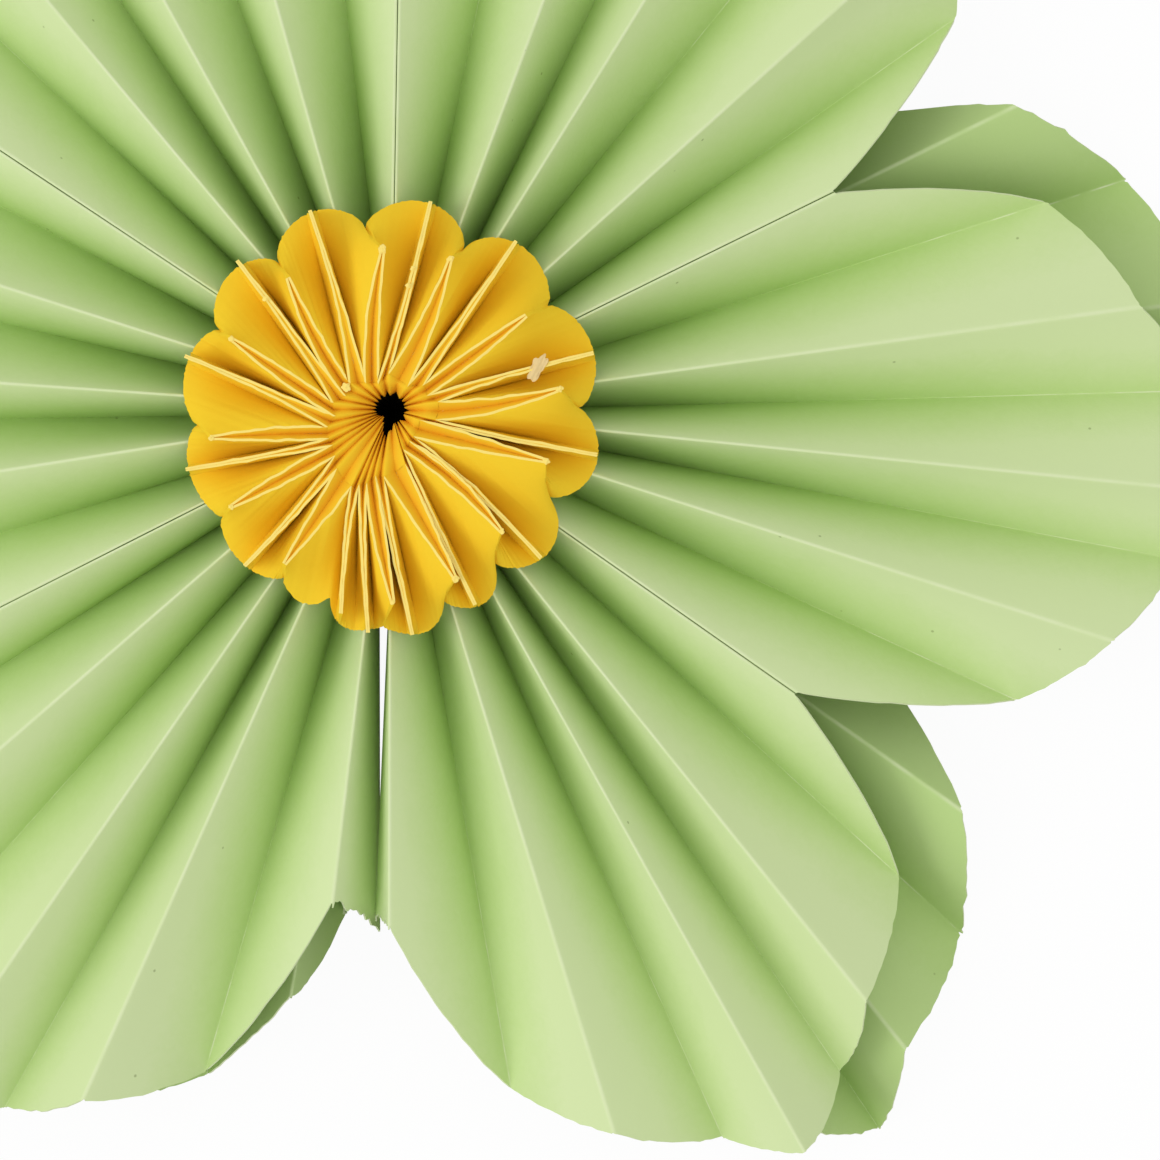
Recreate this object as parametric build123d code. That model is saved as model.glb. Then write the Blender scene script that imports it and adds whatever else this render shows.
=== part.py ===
"""Paper flower: two rings of six accordion-folded card petals and a folded, scalloped centre rosette."""
from build123d import *
import math
import os

# Green card and its rings, in millimetres and degrees
PAPER = 0.35
INNER_RADIUS = 16.0
PLEAT_HEIGHT_INNER = 18.5
PLEAT_HEIGHT_OUTER = 11.5
PLEAT_SPAN = 142.0
FLAP_DEPTH = 11.0
SEAM_GLUE = 0.12
RING_CLEARANCE = 0.2
FOLD_BLUNT = 0.4
PANEL_STRIPS = 6

# Where the scissors met each fold of a half petal, from its seam to its middle fold
FRONT_REACH = (82.0, 115.5, 126.0, 134.0, 141.5)
BACK_REACH = (85.0, 118.5, 131.5, 138.5, 148.0)

# The last back petal was cut shorter towards the open seam: the second half of its cut, after its middle fold
LAST_BACK_REACH = (126.0, 116.0, 104.0, 84.0)
LAST_BACK_MIDDLE = 133.0

# Fold angles of the front ring, one row for each petal from its right seam, anticlockwise
PETAL_FOLDS = (
    (-90.3, -80.2, -72.9, -65.6, -60.9, -55.9, -51.2, -42.5),
    (-35.0, -24.8, -17.7, -10.6, -5.6, 1.6, 7.9, 17.9),
    (26.3, 35.1, 42.1, 50.9, 58.3, 64.0, 69.6, 78.4),
    (89.1, 96.7, 105.8, 110.8, 119.0, 123.6, 130.0, 136.6),
    (146.4, 152.2, 162.3, 167.0, 176.0, 180.8, 188.8, 197.0),
    (206.7, 212.7, 220.8, 228.3, 235.3, 240.7, 245.8, 254.0),
)
# Turn from the last fold in the rows to the front ring's open seam, and to the back ring's two end folds
FRONT_END_TURN = 9.2
BACK_END_TURNS = (6.0, 10.4)

# The seam that stands open: turn from each seam ridge to its free flap edge, at the inner and the outer end
OPEN_FLAP_RIGHT = (-2.3, -1.7)
OPEN_FLAP_LEFT = (2.2, 4.1)

# Yellow rosette. The rosette's inner sizes are shares of the fins' reach
ROSETTE_PAPER = 0.35
ROSETTE_SEAT = 0.2
ROSETTE_HEIGHT = 8.0
FIN_RADIUS = 35.2
NOTCH_SHARE = 0.89
SLIT_END_SHARE = 0.8
FIN_JOIN_SHARE = 0.53
THROAT_SHARE = 0.24
HOLE_SHARE = 0.08
HOLE_DROP = 6.0
GROOVE_DROP = 3.5
FIN_GAP = 0.9
SLIT_GAP = 1.1
FIN_FOOT = 0.5

# The throat is gathered a little off the middle of the rim
THROAT_OFFSET = (-1.0, -1.8)

# Largest shares of the way from a fin to a slit that a cut edge and a fin's foot may take up
EDGE_LIMIT = 0.35
FOOT_LIMIT = 0.5

# How far the middle of a scallop stands up from its valley to the cut edge's height
SCALLOP_RISE = 0.45

# Angles of the pinched fins, of the slit folds between them and of the notches in the rim
FIN_ANGLES = (-66.0, -43.0, -13.0, 16.0, 50.0, 80.5, 112.0, 138.5, 167.5, 197.5, 226.0, 245.0, 259.5, 277.0)
SLIT_ANGLES = (-49.0, -20.5, 6.5, 34.2, 66.5, 94.0, 128.0, 156.5, 188.5, 211.5, 236.5, 252.0, 269.5, 290.0)
NOTCH_ANGLES = (-56.0, -29.0, 0.5, 33.5, 65.5, 98.0, 127.0, 154.5, 183.5, 212.5, 237.0, 252.0, 267.5, 285.5)

FOLDS_PER_PETAL = len(PETAL_FOLDS[0])


def ridge_drop(radius):
    """Height of a pleat at a radius: the pleats open and flatten towards the rim."""
    share = (radius - INNER_RADIUS) / (PLEAT_SPAN - INNER_RADIUS)
    return PLEAT_HEIGHT_INNER + (PLEAT_HEIGHT_OUTER - PLEAT_HEIGHT_INNER) * share


def back_height(radius, ridge):
    """The back ring's valleys lie on the table, and its ridges stand above them."""
    lift = FOLD_BLUNT
    return lift + ridge_drop(radius) if ridge else lift


def front_height(radius, ridge):
    """The front ring's valleys lie on the back ring's standing seam flaps, its own flaps on the back ridges."""
    seat = back_height(radius, False) + FLAP_DEPTH + FOLD_BLUNT + RING_CLEARANCE
    return seat + ridge_drop(radius) if ridge else seat


def polar(radius, angle, z, shift=0.0):
    """A point at a radius and angle, moved sideways by shift, square to its own radius."""
    a = math.radians(angle)
    return Vector(radius * math.cos(a) - shift * math.sin(a), radius * math.sin(a) + shift * math.cos(a), z)


def between(a, b, count):
    """Evenly spaced points from a to b."""
    return [a + (b - a) * (i / count) for i in range(count + 1)]


def solid_from_grids(upper, lower, closed):
    """A thin solid between two like grids of points. A closed grid joins its last column to its first."""
    columns = len(upper)
    rows = len(upper[0])
    faces = []

    def triangle(a, b, c):
        faces.append(Face(Wire.make_polygon([a, b, c], close=True)))

    def quad(a, b, c, d):
        triangle(a, b, c)
        triangle(a, c, d)

    for i in range(columns if closed else columns - 1):
        k = (i + 1) % columns
        for j in range(rows - 1):
            quad(upper[i][j], upper[i][j + 1], upper[k][j + 1], upper[k][j])
            quad(lower[i][j], lower[k][j], lower[k][j + 1], lower[i][j + 1])
        quad(upper[i][0], upper[k][0], lower[k][0], lower[i][0])
        quad(upper[i][-1], lower[i][-1], lower[k][-1], upper[k][-1])
    if not closed:
        for j in range(rows - 1):
            quad(upper[0][j], lower[0][j], lower[0][j + 1], upper[0][j + 1])
            quad(upper[-1][j], upper[-1][j + 1], lower[-1][j + 1], lower[-1][j])
    return Solid(Shell(faces))


def sheet_sides(lines):
    """Upper and lower faces of a folded sheet whose folds and free edges run along the given lines."""
    upper = []
    lower = []
    for i, line in enumerate(lines):
        along = (line[-1] - line[0]).normalized()
        up_column = []
        low_column = []
        for j, point in enumerate(line):
            normals = []
            if i > 0:
                normals.append(along.cross(point - lines[i - 1][j]).normalized())
            if i < len(lines) - 1:
                normals.append(along.cross(lines[i + 1][j] - point).normalized())
            if len(normals) == 1:
                up = down = normals[0] * (PAPER / 2)
            else:
                first, second = normals
                miter = (first + second) * (PAPER / 2 / (1 + first.dot(second)))
                blunt = miter * min(1.0, FOLD_BLUNT / miter.length)
                is_ridge = (lines[i + 1][j] - point).dot(first) < 0
                up = blunt if is_ridge else miter
                down = miter if is_ridge else blunt
            up_column.append(point + up)
            low_column.append(point - down)
        upper.append(up_column)
        lower.append(low_column)
    return upper, lower


def petal(folds, reach, height, ridge_seams, first_flap, last_flap):
    """One petal: panels between radial folds, ridge and valley in turn, with a glue flap at each seam.

    Flaps hang from ridge seams and stand up from valley seams. A flap is given as the turns from its seam to
    its free edge at both ends, or None where it is upright, glued to the flap of the next petal.
    """
    last = len(folds) - 1
    flap = Vector(0, 0, -FLAP_DEPTH if ridge_seams else FLAP_DEPTH)
    seam_shift = (PAPER + SEAM_GLUE) / 2
    lines = []
    for i, (angle, outer) in enumerate(zip(folds, reach)):
        ridge = (i % 2 == 0) == ridge_seams
        glued = (i == 0 and first_flap is None) or (i == last and last_flap is None)
        shift = (seam_shift if i == 0 else -seam_shift) if glued else 0.0
        start = polar(INNER_RADIUS, angle, height(INNER_RADIUS, ridge), shift)
        end = polar(outer, angle, height(outer, ridge), shift)
        lines.append(between(start, end, PANEL_STRIPS))

    def flap_edge(i, turns):
        seam = lines[i]
        if turns is None:
            return [point + flap for point in seam]
        start = polar(INNER_RADIUS, folds[i] + turns[0], seam[0].Z + flap.Z)
        end = polar(reach[i], folds[i] + turns[1], seam[-1].Z + flap.Z)
        return between(start, end, PANEL_STRIPS)

    lines = [flap_edge(0, first_flap), *lines, flap_edge(last, last_flap)]
    return solid_from_grids(*sheet_sides(lines), closed=False)


def rosette():
    """The yellow centre: pinched fins at the scallops, slit ridges at the notches, and a pleated throat."""
    base = front_height(FIN_RADIUS, True) + FOLD_BLUNT + ROSETTE_SEAT + ROSETTE_PAPER
    top = base + ROSETTE_HEIGHT
    hole = FIN_RADIUS * HOLE_SHARE
    throat = FIN_RADIUS * THROAT_SHARE
    fin_join = FIN_RADIUS * FIN_JOIN_SHARE
    slit_end = FIN_RADIUS * SLIT_END_SHARE
    notch_radius = FIN_RADIUS * NOTCH_SHARE
    radii = (hole, throat, (throat + fin_join) / 2, fin_join, slit_end, (slit_end + notch_radius) / 2)
    upper = []
    lower = []

    def share_out(radius, end_radius):
        """How far a radius lies on the way from the throat to another radius."""
        return (radius - throat) / (end_radius - throat)

    def gap(radius, inner, end_radius):
        """Half the distance between two cut edges, which close towards the end of their slit."""
        return ROSETTE_PAPER + (inner - ROSETTE_PAPER) * max(0.0, 1 - share_out(radius, end_radius))

    def groove(radius, end_radius, closed_height):
        """Height of the bottom of a slit."""
        if radius >= end_radius:
            return closed_height
        return top - GROOVE_DROP * (1 - share_out(radius, end_radius) ** 2) - ROSETTE_PAPER

    def column(kind, own, facing, rim):
        """One column of points from the hole to the rim, beside its own fold and towards the facing one."""
        up_column = []
        low_column = []
        for row, radius in enumerate((*radii, rim)):
            surface = top - ROSETTE_HEIGHT * share_out(radius, FIN_RADIUS)
            turn = facing[row] - own[row]
            limit = abs(turn)
            on_slit = kind in ("slit", "slit_edge")
            end_radius = slit_end if on_slit else fin_join
            drop = max(0.0, (radius - slit_end) / (notch_radius - slit_end)) if on_slit else 0.0
            crest = top - ROSETTE_HEIGHT * drop
            floor = groove(radius, end_radius, crest)
            wide = gap(radius, SLIT_GAP if on_slit else FIN_GAP, end_radius)
            edge = min(math.degrees(wide / radius), limit * EDGE_LIMIT)
            foot = min(math.degrees((wide + FIN_FOOT) / radius), limit * FOOT_LIMIT)
            if kind in ("fin", "slit"):
                offset, height, under = 0.0, floor, min(floor, surface)
            elif kind == "fin_edge":
                offset, height, under = edge, crest, surface
            elif kind == "slit_edge":
                offset, height, under = edge, crest, floor
            elif kind == "valley":
                offset, height, under = foot, surface, surface
            else:
                climb = min(1.0, max(0.0, (notch_radius - radius) / (notch_radius - slit_end)))
                height = under = surface + (top - surface) * SCALLOP_RISE * climb
                offset = (foot + limit) / 2
            if row == 0:
                under = top - HOLE_DROP - GROOVE_DROP
                height = under if kind in ("fin", "slit") else top - HOLE_DROP
            angle = own[row] + math.copysign(offset, turn)
            fade = min(1.0, max(0.0, 1 - share_out(radius, slit_end)))
            shift = Vector(*THROAT_OFFSET, 0) * (fade if row else 0.0)
            up_column.append(polar(radius, angle, height) + shift)
            low_column.append(polar(radius, angle, min(under, height) - ROSETTE_PAPER) + shift)
        upper.append(up_column)
        lower.append(low_column)

    panel_rim = (notch_radius + 2 * FIN_RADIUS) / 3
    last_row = len(radii)
    for i, fin_angle in enumerate(FIN_ANGLES):
        slit, notch = SLIT_ANGLES[i], NOTCH_ANGLES[i]
        following = FIN_ANGLES[i + 1] if i + 1 < len(FIN_ANGLES) else FIN_ANGLES[0] + 360
        fin = (fin_angle,) * (last_row + 1)
        next_fin = (following,) * (last_row + 1)
        slit_path = (slit,) * (last_row - 1) + ((slit + notch) / 2, notch)
        column("fin", fin, slit_path, FIN_RADIUS)
        column("fin_edge", fin, slit_path, FIN_RADIUS)
        column("valley", fin, slit_path, FIN_RADIUS)
        column("panel", fin, slit_path, panel_rim)
        column("slit_edge", slit_path, fin, notch_radius)
        column("slit", slit_path, fin, notch_radius)
        column("slit_edge", slit_path, next_fin, notch_radius)
        column("panel", next_fin, slit_path, panel_rim)
        column("valley", next_fin, slit_path, FIN_RADIUS)
        column("fin_edge", next_fin, slit_path, FIN_RADIUS)
    return solid_from_grids(upper, lower, closed=True)


def ring_folds(start):
    """Fold angles of each petal of a ring that starts at the given fold of the front ring."""
    folds = [angle for row in PETAL_FOLDS for angle in row]
    turns = BACK_END_TURNS if start else (FRONT_END_TURN,)
    folds = folds[start:] + [folds[-1] + turn for turn in turns]
    count = len(PETAL_FOLDS)
    return [folds[k * FOLDS_PER_PETAL:(k + 1) * FOLDS_PER_PETAL + 1] for k in range(count)]


def build():
    """All pieces of the flower by name."""
    pieces = {}
    last = len(PETAL_FOLDS)
    front_reach = (*FRONT_REACH, *FRONT_REACH[-2::-1])
    back_reach = (*BACK_REACH, *BACK_REACH[-2::-1])
    last_back_reach = (*BACK_REACH[:-1], LAST_BACK_MIDDLE, *LAST_BACK_REACH)
    for number, folds in enumerate(ring_folds(0), 1):
        right = OPEN_FLAP_RIGHT if number == 1 else None
        left = OPEN_FLAP_LEFT if number == last else None
        pieces[f"front_petal_{number}"] = petal(folds, front_reach, front_height, True, right, left)
    for number, folds in enumerate(ring_folds(1), 1):
        reach = last_back_reach if number == last else back_reach
        pieces[f"back_petal_{number}"] = petal(folds, reach, back_height, False, None, None)
    pieces["centre_rosette"] = rosette()
    return pieces


os.makedirs("parts", exist_ok=True)
for name, solid in build().items():
    solid.label = name
    export_step(solid, f"parts/{name}.step")
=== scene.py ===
"""Paper flower: pleated green card petals in two rings round a folded and cut yellow rosette."""
import math

import bpy
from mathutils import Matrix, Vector, noise


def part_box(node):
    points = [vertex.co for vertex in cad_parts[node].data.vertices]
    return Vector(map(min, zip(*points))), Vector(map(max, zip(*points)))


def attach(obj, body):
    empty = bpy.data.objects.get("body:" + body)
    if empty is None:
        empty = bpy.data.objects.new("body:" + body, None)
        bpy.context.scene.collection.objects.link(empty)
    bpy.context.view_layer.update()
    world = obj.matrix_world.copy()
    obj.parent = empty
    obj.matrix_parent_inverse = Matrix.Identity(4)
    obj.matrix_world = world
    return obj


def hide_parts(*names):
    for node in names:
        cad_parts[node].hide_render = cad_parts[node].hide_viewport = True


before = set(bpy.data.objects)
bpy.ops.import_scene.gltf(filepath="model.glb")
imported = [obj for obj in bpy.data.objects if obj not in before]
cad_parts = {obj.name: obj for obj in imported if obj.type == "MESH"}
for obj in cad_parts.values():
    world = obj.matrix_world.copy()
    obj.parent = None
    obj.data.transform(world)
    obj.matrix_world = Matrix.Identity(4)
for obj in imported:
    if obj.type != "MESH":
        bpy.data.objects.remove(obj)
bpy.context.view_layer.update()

bl_info = {
    "name": "Paper Flower",
    "version": (1, 0, 0),
    "blender": (4, 5, 0),
    "location": "3D View > Sidebar > Flower",
    "description": "Folds card petals and a yellow rosette into a paper flower",
    "category": "Add Mesh",
}

MM = 0.001

# Fold angles of the front ring in degrees, one row for each petal from its right seam, anticlockwise
PETAL_FOLDS = (
    (-90.3, -80.2, -72.9, -65.6, -60.9, -55.9, -51.2, -42.5),
    (-35.0, -24.8, -17.7, -10.6, -5.6, 1.6, 7.9, 17.9),
    (26.3, 35.1, 42.1, 50.9, 58.3, 64.0, 69.6, 78.4),
    (89.1, 96.7, 105.8, 110.8, 119.0, 123.6, 130.0, 136.6),
    (146.4, 152.2, 162.3, 167.0, 176.0, 180.8, 188.8, 197.0),
    (206.7, 212.7, 220.8, 228.3, 235.3, 240.7, 245.8, 254.0),
)
# Turn from the last fold in the rows to the front ring's open seam, and to the back ring's two end folds
FRONT_END_TURN = 9.2
BACK_END_TURNS = (6.0, 10.4)

# The seam that stands open: turn in degrees from each seam ridge to its free flap edge, at the inner and the
# outer end, and the flap's reach in millimetres
OPEN_FLAP_RIGHT = (0.8, -1.7, 84.5)
OPEN_FLAP_LEFT = (-2.0, 5.2, 87.0)

# Where the cut meets the right side of the open seam, in millimetres
OPEN_SEAM_REACH = 85.5

# Where the cut meets each fold of a half petal, in millimetres, from its seam to its middle ridge
FRONT_REACH = (82.0, 115.5, 126.0, 134.0, 141.5)
BACK_REACH = (85.0, 116.8, 130.6, 137.6, 147.0)

# The last back petal was cut shorter towards the open seam: its middle ridge and the folds after it
LAST_BACK_REACH = (133.0, 126.0, 117.0, 99.5, 85.0)

# Hairpin folds of the rosette's cut edge, anticlockwise: kind, angle and radius of the tip, angle at the rim.
# A fin is pinched shut and reaches the rim, a slit stands open and ends above a notch.
HAIRPINS = (
    ("fin", -66.4, 35.2, -66.4), ("slit", -47.6, 27.4, -56.0), ("fin", -44.6, 35.0, -44.6),
    ("slit", -18.5, 27.2, -29.0), ("fin", -12.5, 35.0, -12.5), ("slit", 6.5, 28.2, 0.5),
    ("fin", 15.3, 34.8, 15.3), ("slit", 34.2, 27.2, 33.5), ("fin", 53.0, 34.6, 53.0),
    ("slit", 67.8, 26.6, 65.5), ("fin", 78.8, 34.8, 78.8), ("slit", 92.3, 26.2, 98.0),
    ("fin", 111.9, 35.2, 111.9), ("slit", 127.8, 27.2, 127.3), ("fin", 135.8, 35.0, 135.8),
    ("slit", 156.2, 28.4, 155.0), ("fin", 165.5, 34.8, 165.5), ("slit", 189.3, 29.6, 184.5),
    ("fin", 196.6, 35.0, 196.6), ("slit", 211.8, 30.6, 212.5), ("fin", 227.3, 35.2, 227.3),
    ("slit", 236.0, 30.8, 237.5), ("fin", 256.6, 34.6, 256.6), ("fin", 264.5, 37.0, 264.5),
    ("slit", 271.0, 31.8, 268.0), ("fin", 275.8, 37.4, 275.8), ("slit", 291.3, 30.0, 285.5),
)
# Inner folds of the cut edge, each between a hairpin and the next: angle, radius in millimetres
INNER_FOLDS = (
    (-70.7, 7.3), (-58.0, 6.4), (-49.0, 6.2), (-20.7, 5.4), (-13.6, 7.9), (7.8, 8.2), (18.5, 6.6),
    (34.4, 6.8), (50.0, 4.8), (91.0, 5.8), (114.0, 4.6), (132.8, 5.8), (147.1, 7.8), (164.0, 7.6),
    (174.0, 9.4), (188.0, 9.1), (196.6, 10.7), (206.4, 11.2), (212.8, 11.2), (220.9, 11.9), (228.8, 13.2),
    (243.9, 14.3), (248.2, 13.5), (253.2, 12.9), (258.5, 11.4), (265.7, 11.3), (286.0, 9.6),
)
# Scalloped rim: angle and radius of each notch, and the reach of the scallop that follows it
NOTCHES = (
    (-56.0, 30.2, 35.2), (-29.0, 29.4, 35.2), (0.5, 31.0, 35.0), (33.5, 31.0, 34.8), (65.5, 29.0, 35.0),
    (98.0, 30.2, 35.4), (127.3, 30.4, 35.0), (155.0, 31.2, 34.8), (184.5, 32.0, 35.0), (212.5, 33.0, 35.4),
    (237.5, 32.8, 35.2), (252.0, 32.0, 37.0), (268.0, 35.8, 37.4), (285.5, 32.6, 35.6),
)
# Tufts of torn fibres on the cut edge: hairpin, share of the way from its mouth to its tip, size in
# millimetres, and how full they all are
TUFTS = (
    (11, 1.0, 0.75), (9, 1.0, 0.6), (5, 1.0, 0.6), (3, 1.0, 0.6), (1, 1.0, 0.5), (15, 1.0, 0.5),
    (17, 1.0, 0.5), (19, 1.0, 0.5), (26, 1.0, 0.6), (24, 1.0, 0.45), (13, 0.02, 0.8), (10, 0.52, 0.5),
    (10, 0.62, 0.4), (14, 0.72, 0.45),
)
TUFT_FULLNESS = 0.85

# Places across one panel where its mesh has a column, close together at the folds
PANEL_STATIONS = (
    0.0, 0.008, 0.016, 0.026, 0.07, 0.12, 0.18, 0.24, 0.3, 0.36, 0.42, 0.5,
    0.58, 0.64, 0.7, 0.76, 0.82, 0.88, 0.93, 0.974, 0.984, 0.992,
)

# How far a panel waves, the share of the coarse jags in a cut, and how much more uneven a torn cut and the
# back petals' cuts are
PANEL_WAVE = 0.25 * MM
COARSE_JAG = 0.7
TORN_GAIN = 5.0
BACK_RAGGED_GAIN = 1.6

# Shape of a hairpin: mesh steps along a leg, half the gap at a slit's tip, how far a slit spreads, how far a
# hairpin sways, how its edges waver and fray, half the least gap in it, and how fast it grows shallow
LEG_STEPS = 24
SLIT_GAP = 0.14 * MM
SLIT_SPREAD = 1.1 * MM
HAIRPIN_SWAY = 3.0 * MM
EDGE_WAVER = 0.24 * MM
EDGE_ROUGHNESS = 0.1 * MM
EDGE_FUZZ = 0.5
LEG_CLEARANCE = 0.01 * MM
SLIT_FADE = 0.8
FIN_FADE = 7.0

# Shape of the rosette's panels: power of a scallop's arch, degrees of rim that belong to a fin's foot, swell
# of a panel, further swell beside a slit, and fray of the rim in coarse and fine waves
SCALLOP_POWER = 0.6
FIN_FOOT = 1.5
PANEL_SWELL = 0.9 * MM
SLIT_SWELL = 1.2 * MM
RIM_FRAY = (0.16 * MM, 0.2 * MM)

# Gap in the middle: its tail and the pleat that leans into it, as size, bearing and width in degrees
HOLE_TAIL = (2.3 * MM, 259.0, 11.0)
HOLE_LEAN = (0.9 * MM, 225.0, 16.0)

# Place of the dried glue on a fin
FLECK_PLACE = (24.4 * MM, 6.9 * MM)

# Stage: side of the floor, its gap under the flower, the key light's place, side and colour, and the camera's
# sensor in millimetres and nearest view in metres
FLOOR_SIDE = 6.0
FLOOR_GAP = 0.2 * MM
KEY_PLACE = (-3.05, -0.5, 2.45)
KEY_SIDE = 2.0
KEY_COLOUR = (1.0, 0.985, 0.95)
CAMERA_SENSOR = 36.0
NEAREST_VIEW = 0.01


class FlowerCard(bpy.types.PropertyGroup):
    """Sizes of the green card and its pleats."""

    paper: bpy.props.FloatProperty(
        name="Card", description="Thickness of the card", default=0.35 * MM, unit="LENGTH", precision=5)
    inner_radius: bpy.props.FloatProperty(
        name="Inner radius", description="Where the petals' folds begin", default=16 * MM, unit="LENGTH")
    height_inner: bpy.props.FloatProperty(
        name="Inner pleat", description="Height of a pleat at its inner end",
        default=18.5 * MM, unit="LENGTH")
    height_outer: bpy.props.FloatProperty(
        name="Outer pleat", description="Height of a pleat at the rim", default=11.5 * MM, unit="LENGTH")
    pleat_span: bpy.props.FloatProperty(
        name="Pleat span", description="Radius of the outer pleat height", default=142 * MM, unit="LENGTH")
    flap_depth: bpy.props.FloatProperty(
        name="Flap", description="Depth of the glue flaps", default=11 * MM, unit="LENGTH")
    flap_tuck: bpy.props.FloatProperty(
        name="Flap tuck", description="How far one open flap hangs below the other",
        default=1.6 * MM, unit="LENGTH", precision=5)
    seam_glue: bpy.props.FloatProperty(
        name="Seam", description="Gap between two glued flaps",
        default=0.12 * MM, unit="LENGTH", precision=5)
    fold_lift: bpy.props.FloatProperty(
        name="Fold lift", description="Half thickness of a blunt fold",
        default=0.4 * MM, unit="LENGTH", precision=5)
    ring_clearance: bpy.props.FloatProperty(
        name="Ring gap", description="Gap between the two rings",
        default=0.2 * MM, unit="LENGTH", precision=5)
    bow: bpy.props.FloatProperty(
        name="Bow", description="How far a panel bows across its width",
        default=0.5 * MM, unit="LENGTH", precision=5)
    belly: bpy.props.FloatProperty(
        name="Belly", description="How far the cut bulges on each panel",
        default=1.3 * MM, unit="LENGTH", precision=5)
    seam_belly: bpy.props.FloatProperty(
        name="Seam belly", description="How far the cut bulges beside a seam",
        default=3.4 * MM, unit="LENGTH")
    ragged: bpy.props.FloatProperty(
        name="Ragged", description="Unevenness of the hand-cut edge",
        default=0.4 * MM, unit="LENGTH", precision=5)
    rows: bpy.props.IntProperty(name="Rows", description="Mesh rows along a petal", default=36)


class FlowerRosette(bpy.types.PropertyGroup):
    """Sizes of the yellow rosette."""

    paper: bpy.props.FloatProperty(
        name="Cut edge", description="Width of the cut edges", default=0.4 * MM, unit="LENGTH", precision=5)
    rim_edge: bpy.props.FloatProperty(
        name="Rim edge", description="Thickness of the card at the rim",
        default=0.35 * MM, unit="LENGTH", precision=5)
    base: bpy.props.FloatProperty(
        name="Base", description="Height of the rim",
        default=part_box("centre_rosette")[0][2] + 0.7 * MM, unit="LENGTH")
    top: bpy.props.FloatProperty(
        name="Top", description="Height of the cut edges",
        default=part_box("centre_rosette")[1][2], unit="LENGTH")
    notch_lift: bpy.props.FloatProperty(
        name="Notch lift", description="How far the rim rises at a notch", default=2.4 * MM, unit="LENGTH")
    valley_sag: bpy.props.FloatProperty(
        name="Valley sag", description="How deep the valleys beside the fins sag",
        default=2.0 * MM, unit="LENGTH")
    fin_dip: bpy.props.FloatProperty(
        name="Fin dip", description="How far a fin falls towards its tip", default=1.2 * MM, unit="LENGTH")
    groove_mouth: bpy.props.FloatProperty(
        name="Groove at mouth", description="Depth of a hairpin at its mouth",
        default=1.7 * MM, unit="LENGTH")
    groove_tip: bpy.props.FloatProperty(
        name="Groove at tip", description="Depth of a hairpin at its tip",
        default=0.08 * MM, unit="LENGTH", precision=5)
    hole_radius: bpy.props.FloatProperty(
        name="Hole radius", description="Radius of the gap in the middle", default=2.75 * MM, unit="LENGTH")
    hole_drop: bpy.props.FloatProperty(
        name="Hole drop", description="Fall from the inner folds to the gap",
        default=3.6 * MM, unit="LENGTH")


class FlowerFinish(bpy.types.PropertyGroup):
    """Colours of the card."""

    green: bpy.props.FloatVectorProperty(
        name="Green card", description="Colour of the petals", subtype="COLOR", default=(0.64, 0.76, 0.415))
    # Painted shade: the colour the petals' valleys are painted, standing for the shade down in them
    green_painted_shade: bpy.props.FloatVectorProperty(
        name="Deep green", description="Colour down in the valleys", subtype="COLOR",
        default=(0.465, 0.66, 0.205))
    # Painted shade: the back petals get a darker, more saturated copy of the green card, standing for the
    # shadow the front ring casts on them
    back_green_painted_shade: bpy.props.FloatVectorProperty(
        name="Back green", description="Colour of the back petals", subtype="COLOR",
        default=(0.50, 0.67, 0.27))
    back_deep_painted_shade: bpy.props.FloatVectorProperty(
        name="Deep back green", description="Back petals' valleys", subtype="COLOR",
        default=(0.39, 0.59, 0.155))
    # Pale colour of creases and cut edges; on the ridges it is partly painted highlight
    green_edge_and_highlight: bpy.props.FloatVectorProperty(
        name="Green edge", description="Creases and cut edges", subtype="COLOR", default=(0.72, 0.79, 0.53))
    speck: bpy.props.FloatVectorProperty(
        name="Speck", description="Small specks in the card", subtype="COLOR", default=(0.16, 0.22, 0.06))
    yellow: bpy.props.FloatVectorProperty(
        name="Yellow card", description="Colour of the rosette", subtype="COLOR",
        default=(0.87, 0.58, 0.028))
    # Painted shade: the orange that the insides of the pleats are painted, standing for the shade in them
    yellow_painted_shade: bpy.props.FloatVectorProperty(
        name="Deep yellow", description="Inside of the pleats", subtype="COLOR",
        default=(0.86, 0.44, 0.020))
    yellow_edge: bpy.props.FloatVectorProperty(
        name="Yellow edge", description="Cut edges of the rosette", subtype="COLOR",
        default=(0.95, 0.75, 0.20))
    # Painted shade: the near-black colours of the well under the gap, standing for the shade in it
    gap: bpy.props.FloatVectorProperty(
        name="Gap", description="Dark gap in the middle", subtype="COLOR", default=(0.012, 0.010, 0.003))
    gap_painted_shade_deep: bpy.props.FloatVectorProperty(
        name="Deep gap", description="Darkest part of the gap", subtype="COLOR",
        default=(0.008, 0.008, 0.003))
    glue: bpy.props.FloatVectorProperty(
        name="Glue", description="Dried fleck on the rosette", subtype="COLOR", default=(0.80, 0.60, 0.29))


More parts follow.
